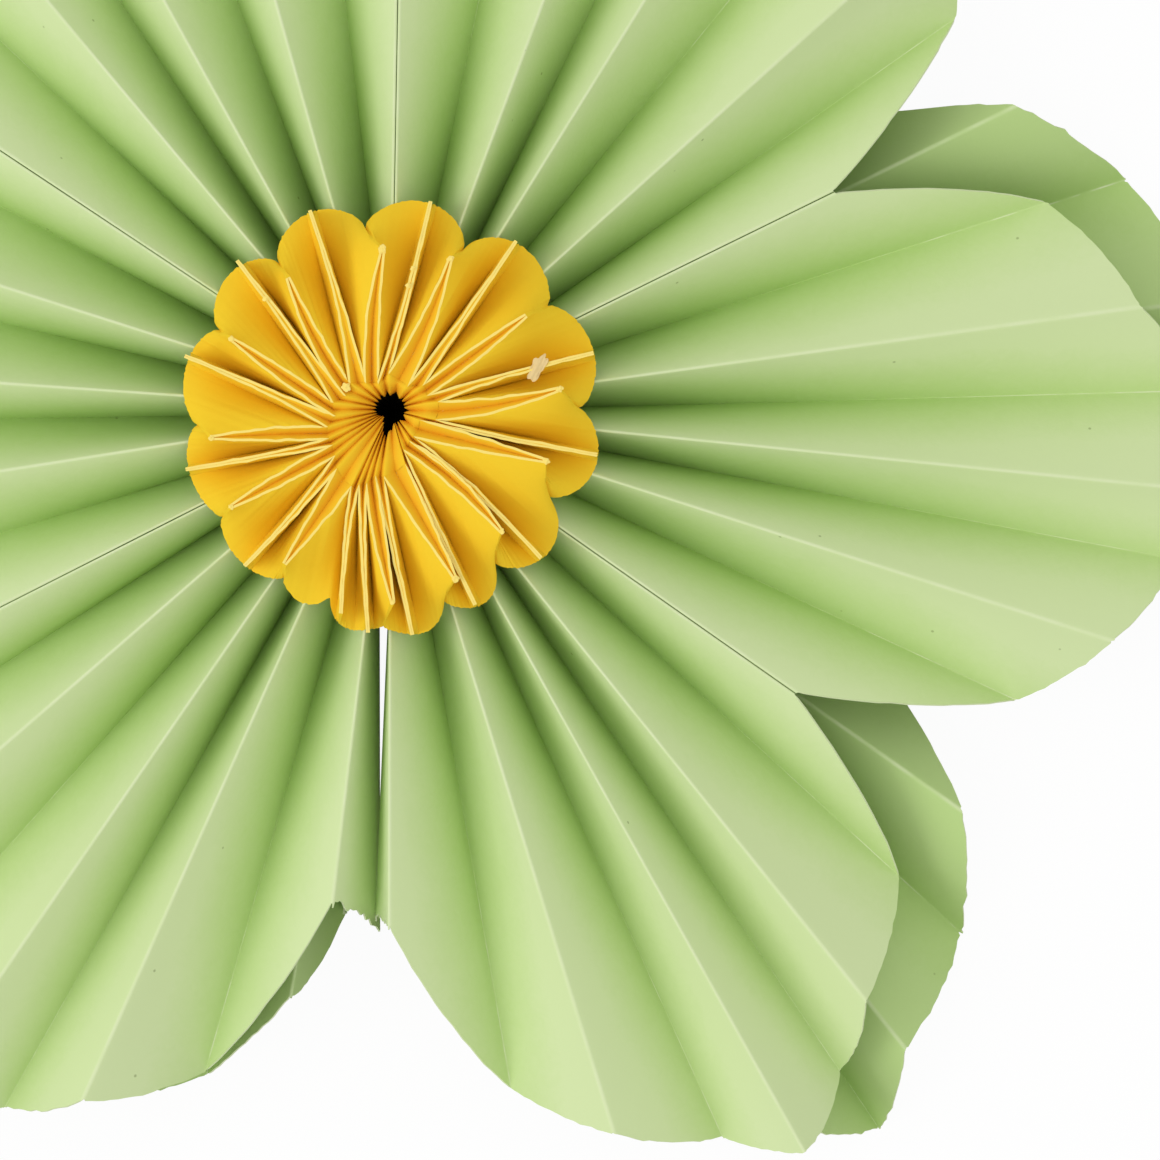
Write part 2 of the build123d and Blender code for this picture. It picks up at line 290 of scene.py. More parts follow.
class FlowerStage(bpy.types.PropertyGroup):
    """Camera, floor and light."""

    pixels_per_mm: bpy.props.FloatProperty(
        name="Scale", description="Image pixels for each millimetre", default=6.0)
    centre_pixel: bpy.props.FloatVectorProperty(
        name="Centre pixel", description="Where the flower's centre is in the image", size=2,
        default=(392.0, 411.0))
    image_size: bpy.props.FloatProperty(
        name="Image", description="Width of the image in pixels", default=1160.0)
    camera_distance: bpy.props.FloatProperty(
        name="Camera distance", description="From the camera to the petals", default=1.0, unit="LENGTH")
    focus_height: bpy.props.FloatProperty(
        name="Scale height", description="Height at which the scale holds", default=24 * MM, unit="LENGTH")
    key_power: bpy.props.FloatProperty(
        name="Key light", description="Power of the key light", default=42.0, unit="POWER")
    fill_colour: bpy.props.FloatVectorProperty(
        name="Fill colour", description="Tint of the surrounding light", subtype="COLOR",
        default=(1.0, 1.0, 0.96))
    fill: bpy.props.FloatProperty(
        name="Fill", description="Strength of the surrounding light", default=0.85)
    floor_colour: bpy.props.FloatVectorProperty(
        name="Floor", description="Floor colour to the light", subtype="COLOR", default=(0.4, 0.4, 0.4))


def card():
    return bpy.context.scene.flower_card


def rosette_sizes():
    return bpy.context.scene.flower_rosette


def finish_colours():
    return bpy.context.scene.flower_finish


def stage_sizes():
    return bpy.context.scene.flower_stage


# Shader helpers

def new_material(name, roughness, specular):
    """A node material with a Principled shader of the given finish."""
    material = bpy.data.materials.new(name)
    material.use_nodes = True
    nodes = material.node_tree.nodes
    shader = nodes["Principled BSDF"]
    shader.inputs["Roughness"].default_value = roughness
    shader.inputs["Specular IOR Level"].default_value = specular
    return material, nodes, material.node_tree.links, shader


def feed(links, socket, value):
    """Feed an input from another socket, or set it to a number or a colour."""
    if isinstance(value, bpy.types.NodeSocket):
        links.new(value, socket)
    elif socket.type == "RGBA":
        socket.default_value = (*value, 1.0)
    else:
        socket.default_value = value


def math_node(nodes, links, operation, *values):
    """The result of a math node."""
    node = nodes.new("ShaderNodeMath")
    node.operation = operation
    for socket, value in zip(node.inputs, values):
        feed(links, socket, value)
    return node.outputs[0]


def map_range(nodes, links, value, source, target, kind="LINEAR"):
    """A value carried over from one range to another."""
    node = nodes.new("ShaderNodeMapRange")
    node.interpolation_type = kind
    for name, limit in zip(("From Min", "From Max", "To Min", "To Max"), (*source, *target)):
        node.inputs[name].default_value = limit
    links.new(value, node.inputs["Value"])
    return node.outputs[0]


def noise_node(nodes, links, scale, detail, roughness=0.5, distortion=0.0):
    """Noise over the object's own coordinates."""
    where = nodes.new("ShaderNodeTexCoord")
    node = nodes.new("ShaderNodeTexNoise")
    node.inputs["Scale"].default_value = scale
    node.inputs["Detail"].default_value = detail
    node.inputs["Roughness"].default_value = roughness
    node.inputs["Distortion"].default_value = distortion
    links.new(where.outputs["Object"], node.inputs["Vector"])
    return node.outputs["Fac"]


def new_group(name, outputs):
    """An empty node group with the named outputs, and the sockets that feed them."""
    group = bpy.data.node_groups.new(name, "ShaderNodeTree")
    for output in outputs:
        group.interface.new_socket(output, in_out="OUTPUT", socket_type="NodeSocketFloat")
    return group, group.nodes.new("NodeGroupOutput").inputs


def grain_group():
    """Paper grain: soft mottling, short fibres and a fine tooth."""
    found = bpy.data.node_groups.get("card_grain")
    if found:
        return found
    group, result = new_group("card_grain", ("Mottle", "Height"))
    nodes, links = group.nodes, group.links
    fibre_share = 0.45
    tooth_share = 0.5
    mottle = noise_node(nodes, links, scale=60.0, detail=3.0, roughness=0.65)
    tooth = noise_node(nodes, links, scale=2200.0, detail=1.0)
    fibre = noise_node(nodes, links, scale=420.0, detail=2.0, distortion=1.6)
    soft = math_node(nodes, links, "MULTIPLY", mottle, 1 - fibre_share)
    feed(links, result["Mottle"], math_node(nodes, links, "MULTIPLY_ADD", fibre, fibre_share, soft))
    feed(links, result["Height"], math_node(nodes, links, "MULTIPLY_ADD", tooth, tooth_share, fibre))
    return group


def crease_group():
    """Creases from the fold coordinate: pale ridges, partly worn fibre and partly painted highlight, faint
    scored valleys and the slope between them.
    """
    found = bpy.data.node_groups.get("card_creases")
    if found:
        return found
    group, result = new_group("card_creases", ("Ridge", "Valley", "Slope"))
    nodes, links = group.nodes, group.links
    fold = nodes.new("ShaderNodeAttribute")
    fold.attribute_name = "fold_u"
    place_on_card = fold.outputs["Fac"]
    nearest = math_node(nodes, links, "ROUND", place_on_card)
    away = math_node(nodes, links, "ABSOLUTE", math_node(nodes, links, "SUBTRACT", place_on_card, nearest))
    on_ridge = math_node(nodes, links, "MODULO", nearest, 2.0)
    in_valley = math_node(nodes, links, "SUBTRACT", 1.0, on_ridge)
    wear_and_highlight = noise_node(nodes, links, scale=180.0, detail=2.0)
    full_wear_and_highlight = 0.6

    def line(kind, width, first_wear_and_highlight):
        near = map_range(nodes, links, away, (0.0, width), (1.0, 0.0), "SMOOTHSTEP")
        wear_and_highlight_share = map_range(nodes, links, wear_and_highlight, (first_wear_and_highlight, full_wear_and_highlight), (0.0, 1.0))
        return math_node(nodes, links, "MULTIPLY", math_node(nodes, links, "MULTIPLY", near, kind), wear_and_highlight_share)

    feed(links, result["Ridge"], line(on_ridge, width=0.03, first_wear_and_highlight=0.25))
    feed(links, result["Valley"], line(in_valley, width=0.014, first_wear_and_highlight=0.42))
    feed(links, result["Slope"], math_node(nodes, links, "PINGPONG", place_on_card, 1.0))
    return group


def mix_colour(nodes, links, factor, first, second):
    """A mix of two colours, each a socket or three numbers."""
    mix = nodes.new("ShaderNodeMix")
    mix.data_type = "RGBA"
    links.new(factor, mix.inputs["Factor"])
    feed(links, mix.inputs["A"], first)
    feed(links, mix.inputs["B"], second)
    return mix.outputs["Result"]


def add_grain(nodes, links, shader, strength):
    """Paper grain as bump. Returns the mottling."""
    tooth_depth = 0.08 * MM
    grain = nodes.new("ShaderNodeGroup")
    grain.node_tree = grain_group()
    bump = nodes.new("ShaderNodeBump")
    bump.inputs["Strength"].default_value = strength
    bump.inputs["Distance"].default_value = tooth_depth
    links.new(grain.outputs["Height"], bump.inputs["Height"])
    links.new(bump.outputs["Normal"], shader.inputs["Normal"])
    return grain.outputs["Mottle"]


def mottle_and_painted_shade(nodes, links, mottle, slope, where):
    """Painted shade and grain mottling: the card is painted deep in the valleys near the centre as shade, and
    stays pale on the ridges and towards the rim.
    """
    valley_shade_mix, ridge_shade_mix, rim_shade_ease, mottle_share = -0.25, 0.7, 0.5, 0.5
    shade_ease_start, shade_ease_end = 50 * MM, 125 * MM
    level = map_range(nodes, links, slope, (0.0, 1.0), (valley_shade_mix, ridge_shade_mix))
    mottled_shade = math_node(nodes, links, "MULTIPLY_ADD", mottle, mottle_share, level)
    radius = nodes.new("ShaderNodeVectorMath")
    radius.operation = "LENGTH"
    links.new(where, radius.inputs[0])
    shade_eased = map_range(nodes, links, radius.outputs["Value"], (shade_ease_start, shade_ease_end), (0.0, rim_shade_ease))
    return math_node(nodes, links, "ADD", mottled_shade, shade_eased)


def speck_mask(nodes, links, where):
    """Small scattered specks."""
    density, full_size, faded_size, darkness = 90.0, 0.016, 0.03, 0.5
    specks = nodes.new("ShaderNodeTexVoronoi")
    specks.inputs["Scale"].default_value = density
    links.new(where, specks.inputs["Vector"])
    return map_range(nodes, links, specks.outputs["Distance"], (full_size, faded_size), (darkness, 0.0))


def green_card_material(name, deep, pale):
    """Matte pale green card with small specks, painted shade deep in the valleys, and pale creases that are
    partly worn fibre and partly painted highlight.
    """
    found = bpy.data.materials.get(name)
    if found:
        return found
    material, nodes, links, shader = new_material(name, roughness=0.72, specular=0.25)
    colours = finish_colours()
    mottle = add_grain(nodes, links, shader, strength=0.25)
    crease = nodes.new("ShaderNodeGroup")
    crease.node_tree = crease_group()
    where = nodes.new("ShaderNodeTexCoord").outputs["Object"]
    # Painted shade: the green turns deeper and more saturated down in the valleys, most of all near the
    # centre
    mottled_shade = mottle_and_painted_shade(nodes, links, mottle, crease.outputs["Slope"], where)
    base = mix_colour(nodes, links, mottled_shade, deep, pale)
    # Ridge lines: pale crease, partly worn fibre and partly painted highlight
    ridge_strength = 0.48
    ridge = math_node(nodes, links, "MULTIPLY", crease.outputs["Ridge"], ridge_strength)
    ridged = mix_colour(nodes, links, ridge, base, colours.green_edge_and_highlight)
    scored = mix_colour(nodes, links, crease.outputs["Valley"], ridged, colours.green_edge_and_highlight)
    final = mix_colour(nodes, links, speck_mask(nodes, links, where), scored, colours.speck)
    links.new(final, shader.inputs["Base Color"])
    return material


def edge_material(name, colour, deep):
    """Cut edge of a card, where the paler fibres show; the same grainy matte finish also makes the glue fleck
    and the painted shade of the gap.
    """
    found = bpy.data.materials.get(name)
    if found:
        return found
    material, nodes, links, shader = new_material(name, roughness=0.85, specular=0.2)
    mottle = add_grain(nodes, links, shader, strength=0.6)
    links.new(mix_colour(nodes, links, mottle, deep, colour), shader.inputs["Base Color"])
    return material


def yellow_card_material():
    """Matte deep yellow card, with painted shade that makes it more orange deep in the pleats."""
    found = bpy.data.materials.get("folded_yellow")
    if found:
        return found
    material, nodes, links, shader = new_material("folded_yellow", roughness=0.62, specular=0.05)
    colours = finish_colours()
    mottle = add_grain(nodes, links, shader, strength=0.2)
    painted_shade = nodes.new("ShaderNodeAttribute")
    painted_shade.attribute_name = "painted_shade"
    gain = 1.06
    lighter = tuple(min(1.0, c * gain) for c in colours.yellow)
    base = mix_colour(nodes, links, mottle, colours.yellow, lighter)
    final = mix_colour(nodes, links, painted_shade.outputs["Fac"], base, colours.yellow_painted_shade)
    links.new(final, shader.inputs["Base Color"])
    return material


def seen_directly(nodes, links):
    """1 for what the camera and reflections see, 0 for the light that falls on the flower."""
    path = nodes.new("ShaderNodeLightPath")
    return math_node(nodes, links, "MAXIMUM", path.outputs["Is Camera Ray"], path.outputs["Is Glossy Ray"])


# Mesh helpers

def start_grid(name, columns, rows):
    """A flat grid of quads to fold, with its vertices as a table by column and row."""
    bpy.ops.object.select_all(action="DESELECT")
    bpy.ops.mesh.primitive_grid_add(x_subdivisions=columns, y_subdivisions=rows, size=1.0)
    piece = bpy.context.object
    piece.name = name
    piece.data.name = name
    xs = sorted({round(v.co.x, 5) for v in piece.data.vertices})
    ys = sorted({round(v.co.y, 5) for v in piece.data.vertices})
    place_x = {x: i for i, x in enumerate(xs)}
    place_y = {y: j for j, y in enumerate(ys)}
    if len(xs) != columns + 1 or len(ys) != rows + 1:
        raise RuntimeError(f"{name}: the grid has {len(xs)} by {len(ys)} points")
    table = [(v, place_x[round(v.co.x, 5)], place_y[round(v.co.y, 5)]) for v in piece.data.vertices]
    return piece, table


def smooth_up_to(degrees):
    """Smooth shading of the selected piece, apart from folds sharper than the given angle."""
    bpy.ops.object.shade_smooth_by_angle(angle=math.radians(degrees))


def thicken(piece, thickness):
    """Card thickness on both sides of a folded sheet, with its cut edges as the second material."""
    bpy.context.view_layer.objects.active = piece
    bpy.ops.object.modifier_add(type="SOLIDIFY")
    modifier = piece.modifiers[-1]
    modifier.thickness = thickness
    modifier.offset = 0.0
    modifier.material_offset_rim = 1
    bpy.ops.object.modifier_apply(modifier=modifier.name)
    smooth_up_to(60)


def polar(radius, angle, z, shift=0.0):
    """A point at a radius and an angle in degrees, moved sideways by shift."""
    a = math.radians(angle)
    c, s = math.cos(a), math.sin(a)
    return Vector((radius * c - shift * s, radius * s + shift * c, z))


def ripple(x, y, z):
    """Smooth noise between -1 and 1."""
    return noise.noise(Vector((x, y, z)))


# Green petals

def pleat_height(radius):
    """Height of a pleat at a radius: the pleats open and flatten towards the rim."""
    sizes = card()
    share = (radius - sizes.inner_radius) / (sizes.pleat_span - sizes.inner_radius)
    return sizes.height_inner + (sizes.height_outer - sizes.height_inner) * share


def back_height(radius, ridge):
    """The back ring's valleys lie on the table."""
    lift = card().fold_lift
    return lift + pleat_height(radius) if ridge else lift


def front_height(radius, ridge):
    """The front ring's valleys lie on the back ring's standing seam flaps."""
    sizes = card()
    seat = back_height(radius, False) + sizes.flap_depth + sizes.fold_lift + sizes.ring_clearance
    return seat + pleat_height(radius) if ridge else seat


def fold_lines(folds, reach, height, ridge_seams, first_flap, last_flap):
    """Start and end of each fold and free edge of one petal, from flap to flap.

    Flaps hang from ridge seams and stand up from valley seams.
    """
    sizes = card()
    inner = sizes.inner_radius
    last = len(folds) - 1
    seam_shift = (sizes.paper + sizes.seam_glue) / 2
    lines = []
    for i, (angle, outer) in enumerate(zip(folds, reach)):
        ridge = (i % 2 == 0) == ridge_seams
        glued = (i == 0 and first_flap is None) or (i == last and last_flap is None)
        shift = (seam_shift if i == 0 else -seam_shift) if glued else 0.0
        lines.append((polar(inner, angle, height(inner, ridge), shift),
                      polar(outer, angle, height(outer, ridge), shift)))

    def flap_edge(i, turns):
        start, end = lines[i]
        flap = Vector((0, 0, -sizes.flap_depth if ridge_seams else sizes.flap_depth))
        if turns is None:
            return start + flap, end + flap
        tucked = sizes.flap_tuck if i else 0.0
        return (polar(inner, folds[i] + turns[0], start.z + flap.z - tucked),
                polar(turns[2] * MM, folds[i] + turns[1], end.z + flap.z - tucked))

    return [flap_edge(0, first_flap), *lines, flap_edge(last, last_flap)]


def fold_petal(name, lines, ridge_seams, seed, ragged, torn):
    """One petal: a sheet laid along its fold lines, with rounded creases, a slight bow and a cut outline.

    The panels named in torn have a torn end. The fold coordinate is odd on ridges and even in valleys.
    """
    sizes = card()
    panels = len(lines) - 1
    stations = [i + f for i in range(panels) for f in PANEL_STATIONS] + [float(panels)]
    round_off = PANEL_STATIONS[3]
    wave_across, wave_along = 0.7, 2.5
    coarse_pitch, fine_pitch = 7.0, 43.0
    belly_power, before_rim = 4, 0.9
    piece, table = start_grid(name, len(stations) - 1, sizes.rows)

    def flat_point(u, v):
        i = min(int(u), panels - 1)
        f = u - i
        start = lines[i][0].lerp(lines[i + 1][0], f)
        end = lines[i][1].lerp(lines[i + 1][1], f)
        along = (end - start).normalized()
        near_fold = lines[i][0].lerp(lines[i][1], v)
        far_fold = lines[i + 1][0].lerp(lines[i + 1][1], v)
        across = (far_fold - near_fold).normalized()
        hump = 4 * f * (1 - f)
        is_flap = i in (0, panels - 1)
        bow = 0.0 if is_flap else sizes.bow * hump * (1 if i % 2 else -1)
        wave = PANEL_WAVE * ripple(u * wave_across + seed, v * wave_along, seed)
        lift = along.cross(across) * (bow + wave * hump)
        bulge = sizes.seam_belly if i in (1, panels - 2) else sizes.belly
        belly = 0.0 if is_flap else bulge * hump * v ** belly_power
        return start.lerp(end, v) + lift + along * belly

    def folded_point(u, v):
        nearest = round(u)
        gap = abs(u - nearest)
        if gap >= round_off or nearest in (0, panels):
            return flat_point(u, v)
        before = flat_point(nearest - round_off, v)
        crest = flat_point(nearest, v)
        after = flat_point(nearest + round_off, v)
        t = 0.5 + (u - nearest) / (2 * round_off)
        return before * (1 - t) ** 2 + crest * (2 * t * (1 - t)) + after * t * t

    fold_u = piece.data.attributes.new("fold_u", "FLOAT", "POINT")
    for vertex, i, j in table:
        u = stations[i]
        v = j / sizes.rows
        point = folded_point(u, v)
        if j == sizes.rows:
            jag = COARSE_JAG * ripple(u * coarse_pitch, seed * 3.1, 0.0) + ripple(u * fine_pitch, seed, 4.0)
            tear = TORN_GAIN if min(int(u), panels - 1) in torn else 1.0
            point += (point - folded_point(u, before_rim)).normalized() * ragged * tear * jag
        vertex.co = point
        fold_u.data[vertex.index].value = u if ridge_seams else u + 1
    colours = finish_colours()
    # Front petals get the green with painted valley shade; back petals get the darker copy, painted shade for
    # the front ring's shadow over them
    if ridge_seams:
        green = green_card_material("pleated_green", colours.green_painted_shade, colours.green)
    else:
        green = green_card_material("back_painted_shade_green", colours.back_deep_painted_shade, colours.back_green_painted_shade)
    piece.data.materials.append(green)
    piece.data.materials.append(edge_material("cut_green", colours.green_edge_and_highlight, colours.green))
    thicken(piece, sizes.paper)
    return piece


def ring_folds(start):
    """Fold angles of each petal of a ring that starts at the given fold of the front ring."""
    folds = [angle for row in PETAL_FOLDS for angle in row]
    turns = BACK_END_TURNS if start else (FRONT_END_TURN,)
    folds = folds[start:] + [folds[-1] + turn for turn in turns]
    per_petal = len(PETAL_FOLDS[0])
    return [folds[k * per_petal:(k + 1) * per_petal + 1] for k in range(len(PETAL_FOLDS))]


def place(piece, node):
    """Ride a finished piece on the flower and let it stand for its solid."""
    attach(piece, "root")
    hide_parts(node)


class FLOWER_OT_front_petals(bpy.types.Operator):
    """Fold the six petals of the front ring"""

    bl_idname = "flower.front_petals"
    bl_label = "Front petals"

    def execute(self, context):
        reach = [r * MM for r in (*FRONT_REACH, *FRONT_REACH[-2::-1])]
        for number, folds in enumerate(ring_folds(0), 1):
            right = OPEN_FLAP_RIGHT if number == 1 else None
            left = OPEN_FLAP_LEFT if number == len(PETAL_FOLDS) else None
            cut = [OPEN_SEAM_REACH * MM, *reach[1:]] if right else reach
            lines = fold_lines(folds, cut, front_height, True, right, left)
            torn = (0,) if right else (len(lines) - 2,) if left else ()
            piece = fold_petal(f"front_petal_card_{number}", lines, True, number, card().ragged, torn)
            place(piece, f"front_petal_{number}")
        return {"FINISHED"}


class FLOWER_OT_back_petals(bpy.types.Operator):
    """Fold the six petals of the back ring"""

    bl_idname = "flower.back_petals"
    bl_label = "Back petals"

    def execute(self, context):
        for number, folds in enumerate(ring_folds(1), 1):
            second_half = LAST_BACK_REACH if number == len(PETAL_FOLDS) else BACK_REACH[::-1]
            reach = [r * MM for r in (*BACK_REACH[:-1], *second_half)]
            lines = fold_lines(folds, reach, back_height, False, None, None)
            ragged = BACK_RAGGED_GAIN * card().ragged
            piece = fold_petal(f"back_petal_card_{number}", lines, False, 10 + number, ragged, ())
            place(piece, f"back_petal_{number}")
        return {"FINISHED"}


# Yellow rosette

def flat(vector):
    """The plan direction of a vector."""
    return Vector((vector.x, vector.y, 0)).normalized()


def inner_folds():
    """Plan points of the rosette's inner folds."""
    return [polar(radius * MM, angle, 0) for angle, radius in INNER_FOLDS]


def rim_point(angle, z):
    """A point on the scalloped rim."""
    for i, (start, low, reach) in enumerate(NOTCHES):
        end, next_low, _ = NOTCHES[(i + 1) % len(NOTCHES)]
        width = (end - start) % 360
        share = ((angle - start) % 360) / width
        if share <= 1:
            between = low + (next_low - low) * share
            arch = math.sin(math.pi * share)
            lift = rosette_sizes().notch_lift * (1 - arch)
            radius = between + (reach - between) * arch ** SCALLOP_POWER
            return polar(radius * MM, angle, z + lift)
    raise RuntimeError(f"no scallop at {angle}")


def cut_leg(number, kind, tip, mouth, fold, side):
    """One leg of a hairpin, as a function of the share of the way from its inner fold to its tip.

    The function gives the outer and the inner side of the cut edge, and the bottom of the hairpin there.
    """
    sizes = rosette_sizes()
    is_slit = kind == "slit"
    half = sizes.paper / 2
    close = half + (SLIT_GAP if is_slit else 0.0)
    spread = close + (SLIT_SPREAD if is_slit else 0.0)
    dip = 0.0 if is_slit else sizes.fin_dip
    fade = SLIT_FADE if is_slit else FIN_FADE
    run = flat(tip - mouth)
    square = Vector((-run.y, run.x, 0))
    end_share, bend_share, turn_share, dip_power = 0.6, 0.4, 0.12, 1.5
    waver_pitch, rough_pitch, fuzz_pitch = 9.0, 30.0, 23.0
    sway_seed, waver_seed, rough_seed, fuzz_seed = (number * gain for gain in (5.7, 7.3, 3.1, 1.9))
    sway = HAIRPIN_SWAY * ripple(sway_seed, 0.4, 0.0)
    end = tip + square * side * close * end_share
    bend = mouth.lerp(tip, bend_share) + square * (side * spread + sway)

    def leg(t):
        middle = fold * (1 - t) ** 2 + bend * (2 * t * (1 - t)) + end * t * t
        waver = EDGE_WAVER * ripple(waver_seed, side, t * waver_pitch) * math.sin(math.pi * t)
        middle += square * side * waver
        turn = min(1.0, t / turn_share)
        out = flat(fold * (1 - turn) + square * side * turn * fold.length)
        rough = EDGE_ROUGHNESS * ripple(rough_seed, side, t * rough_pitch)
        z = sizes.top - dip * t ** dip_power + rough
        deep = sizes.groove_tip + (sizes.groove_mouth - sizes.groove_tip) * (1 - t) ** fade
        axis = mouth.lerp(tip, t) + square * sway * 2 * t * (1 - t)
        edge = Vector((middle.x, middle.y, z))
        inner = edge - out * half
        overlap = LEG_CLEARANCE - (inner - axis).dot(square) * side
        if overlap > 0:
            inner += square * side * overlap
        fuzz = 1 + EDGE_FUZZ * ripple(fuzz_seed, side * 2.0, t * fuzz_pitch)
        return edge + out * half * fuzz, inner, Vector((axis.x, axis.y, z - deep))

    return leg


def cut_legs():
    """The two legs of each hairpin: from the inner fold before it, and from the one after it."""
    folds = inner_folds()
    legs = []
    for i, (kind, angle, radius, _) in enumerate(HAIRPINS):
        tip = polar(radius * MM, angle, 0)
        mouth = (folds[i - 1] + folds[i]) / 2
        legs.append(cut_leg(i, kind, tip, mouth, folds[i - 1], -1.0))
        legs.append(cut_leg(i, kind, tip, mouth, folds[i], 1.0))
    return legs


def strip_columns():
    """Columns of the strip in order: a leg, its share, the angle at the rim and the kind of hairpin."""
    legs = cut_legs()
    count = len(HAIRPINS)
    columns = []
    for i, (kind, _, _, rim_angle) in enumerate(HAIRPINS):
        next_kind, _, _, next_rim = HAIRPINS[(i + 1) % count]
        width = (next_rim - rim_angle) % 360
        if kind == next_kind:
            valley = rim_angle + width / 2
        elif kind == "fin":
            valley = rim_angle + min(FIN_FOOT, width / 3)
        else:
            valley = rim_angle + width - min(FIN_FOOT, width / 3)
        outward = legs[2 * i + 1]
        inward = legs[(2 * i + 2) % (2 * count)]
        for step in range(LEG_STEPS + 1):
            s = step / LEG_STEPS
            columns.append((outward, 1 - s, rim_angle + (valley - rim_angle) * s, kind))
        for step in range(LEG_STEPS + 1):
            s = step / LEG_STEPS
            columns.append((inward, s, valley + (rim_angle + width - valley) * s, next_kind))
    return columns


def fold_rosette_strip():
    """The scalloped strip: panels from the rim up to the cut edge, and the insides of the hairpins."""
    sizes = rosette_sizes()
    columns = strip_columns()
    under_rows, panel_rows, inside_rows = 2, 9, 3
    edge_row = under_rows + panel_rows
    under_share, under_lift = 0.5, 1.2 * MM
    coarse_pitch, fine_pitch = 1.3, 3.1
    coarse_fray, fine_fray = RIM_FRAY
    # Painted shade inside the hairpins: a share of it at the cut edge, growing to full at their bottom
    edge_shade = 0.25
    piece, table = start_grid("rosette_card", len(columns), edge_row + 1 + inside_rows)
    painted_shade = piece.data.attributes.new("painted_shade", "FLOAT", "POINT")
    row_of = {}
    for vertex, i, j in table:
        leg, t, angle, kind = columns[i % len(columns)]
        outer, inner, bottom = leg(t)
        rim = rim_point(angle, sizes.base)
        coarse = coarse_fray * ripple(angle * coarse_pitch, 2.0, 0.0)
        fine = fine_fray * ripple(angle * fine_pitch, 7.0, 0.0)
        rim += flat(rim) * (coarse + fine)
        painted_shade_share = 0.0
        if j == 0:
            point = Vector((rim.x * under_share, rim.y * under_share, sizes.base + under_lift))
        elif j < under_rows:
            point = rim - Vector((0, 0, sizes.rim_edge))
        elif j <= edge_row:
            v = (j - under_rows) / panel_rows
            point = rim.lerp(outer, v)
            hump = math.sin(math.pi * v)
            point.z += PANEL_SWELL * hump * t
            point.z -= sizes.valley_sag * hump * (1 - t) ** 2
            if kind == "slit":
                point.z += SLIT_SWELL * hump * math.sin(math.pi * t)
        else:
            depth = (j - edge_row - 1) / inside_rows
            point = inner.lerp(bottom, depth)
            painted_shade_share = edge_shade + (1 - edge_shade) * depth
        vertex.co = point
        painted_shade.data[vertex.index].value = painted_shade_share
        row_of[vertex.index] = j
    for polygon in piece.data.polygons:
        low = min(row_of[v] for v in polygon.vertices)
        polygon.material_index = 1 if low in (1, edge_row) else 0
    piece.data.materials.append(yellow_card_material())
    colours = finish_colours()
    piece.data.materials.append(edge_material("cut_yellow", colours.yellow_edge, colours.yellow_edge))
    smooth_up_to(38)
    return piece


def bell(bearing, size, middle, width):
    """A smooth bump of the given size at a bearing in degrees."""
    away = (bearing - middle + 180) % 360 - 180
    return size * math.exp(-(away / width) ** 2)


def hole_reach(bearing):
    """Radius of the gap in the middle, with its tail between two pleats and a pleat that leans into it."""
    return rosette_sizes().hole_radius + bell(bearing, *HOLE_TAIL) - bell(bearing, *HOLE_LEAN)


def fold_rosette_throat():
    """The pleated throat: rounded ridges from the inner folds and sharp valleys down into the gap, over a
    near-black well that is painted shade.
    """
    sizes = rosette_sizes()
    folds = inner_folds()
    count = len(folds)
    steps, rows = 10, 16
    # Share of the rows that lie above the gap's edge
    rim_share = 0.62
    # How a pleat meets the cut edge, where it ends, how it falls and how its valleys grow shallow
    ridge_tuck, valley_tuck = 0.4, 0.5
    ridge_end, valley_end = 0.88, 0.3
    ridge_set, fall_power, groove_power = 0.12 * MM, 2.2, 1.5
    shallow, shallow_by = 0.65, 0.35
    # The near-black well below, painted shade for the gap, and how much painted shade turns the pleats orange
    well_depth, well_swell = 16 * MM, 0.25
    ridge_shade, valley_shade, fall_shade = 0.15, 0.7, 0.35
    piece, table = start_grid("rosette_throat", count * steps, rows)
    painted_shade = piece.data.attributes.new("painted_shade", "FLOAT", "POINT")
    row_of = {}
    for vertex, i, j in table:
        index, step = divmod(i, steps)
        a, b = folds[index % count], folds[(index + 1) % count]
        f = step / steps
        valley = 1 - abs(2 * f - 1)
        groove = valley ** groove_power
        v = j / rows
        plan = a.lerp(b, f)
        plan -= flat(plan) * sizes.paper * (ridge_tuck * (1 - valley) - valley_tuck * valley)
        bearing = math.degrees(math.atan2(plan.y, plan.x))
        low = polar(hole_reach(bearing) * (ridge_end + valley_end * groove), bearing, 0)
        share = min(1.0, v / rim_share)
        where = plan.lerp(low, share)
        ridge_fall = sizes.hole_drop * share ** fall_power
        valley_depth = sizes.groove_mouth * (1 - shallow * min(1.0, share / shallow_by))
        z = sizes.top - ridge_set - ridge_fall - valley_depth * groove
        if v > rim_share:
            deeper = (v - rim_share) / (1 - rim_share)
            where = low * (1 + well_swell * math.sin(math.pi * deeper) - deeper)
            z -= well_depth * deeper
        vertex.co = Vector((where.x, where.y, z))
        # Painted shade: more orange in the valleys and further down the throat
        painted_shade_share = ridge_shade + valley_shade * groove + fall_shade * share
        painted_shade.data[vertex.index].value = min(1.0, painted_shade_share)
        row_of[vertex.index] = j
    # The well below the gap's edge gets the near-black gap colour: painted shade
    dark_from = math.ceil(rows * rim_share)
    for polygon in piece.data.polygons:
        low_row = min(row_of[v] for v in polygon.vertices)
        polygon.material_index = 1 if low_row > dark_from else 0
    piece.data.materials.append(yellow_card_material())
    colours = finish_colours()
    piece.data.materials.append(edge_material("painted_shade_gap", colours.gap, colours.gap_painted_shade_deep))
    smooth_up_to(70)
    return piece


